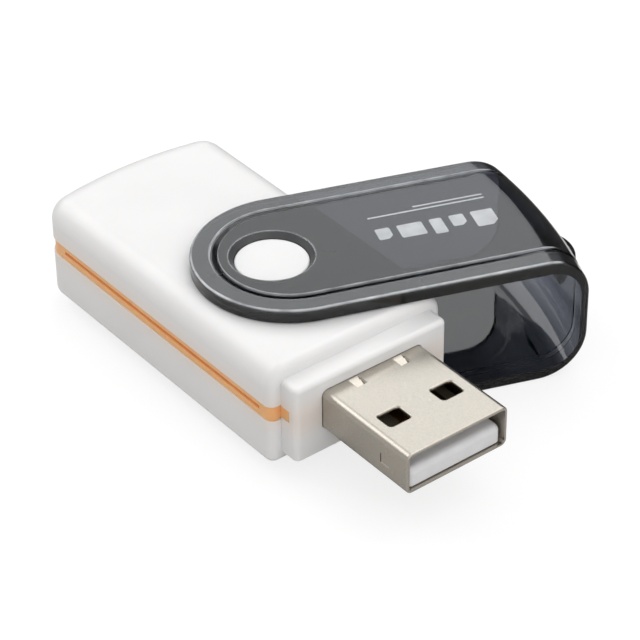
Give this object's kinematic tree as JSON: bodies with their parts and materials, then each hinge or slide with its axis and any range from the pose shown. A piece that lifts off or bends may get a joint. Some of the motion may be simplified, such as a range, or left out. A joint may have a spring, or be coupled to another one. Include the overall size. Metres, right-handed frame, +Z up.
{
  "type": "usb memory card reader",
  "caption": "Pocket memory card reader with a flat plug, a two-part shell round a coloured frame, side and rear card slots, and a U-shaped cover that swivels over the plug.",
  "frame": {"origin": "middle of the footprint, on the plane the cover's lower plate rests on", "axes": "+X along the plug, out of its mouth; +Z up, along the swivel axis; +Y to the side that the full-size card slot faces"},
  "size_m": [0.0534, 0.0402, 0.0139],
  "materials": {
    "white_shell": "smooth white moulding",
    "orange_frame": "translucent orange moulding",
    "smoked_cover": "polished smoked clear moulding",
    "nickel": "satin nickel plate",
    "insulator": "natural white moulding",
    "gilt": "gold plated spring strip",
    "board": "green solder mask",
    "chip_black": "black moulding compound",
    "can": "drawn steel can",
    "capacitor": "tan ceramic chip",
    "lamp": "clear lens",
    "socket_black": "black moulding",
    "socket_steel": "stamped sheet"
  },
  "bodies": {
    "reader": {"upper_shell": "white_shell", "lower_shell": "white_shell", "mid_frame": "orange_frame", "plug_shell": "nickel", "plug_tongue": "insulator", "plug_contacts": "gilt", "circuit_board": "board", "controller_chip": "chip_black", "regulator_chip": "chip_black", "crystal_can": "can", "chip_capacitors": "capacitor", "chip_resistors": "chip_black", "ferrite_beads": "chip_black", "activity_lamp": "lamp", "card_socket_base": "socket_black", "card_socket_lid": "socket_steel", "card_socket_contacts": "gilt", "card_detect_springs": "gilt", "micro_socket_base": "socket_black", "micro_socket_lid": "socket_steel", "micro_socket_contacts": "gilt"},
    "cover": {"swivel_cover": "smoked_cover"}
  },
  "joints": [
    {"name": "cover_swivel", "type": "hinge", "parent": "reader", "child": "cover", "pos_m": [-0.00107, -0.0097, 0.007], "axis": [0, 0, 1], "continuous": true}
  ]
}
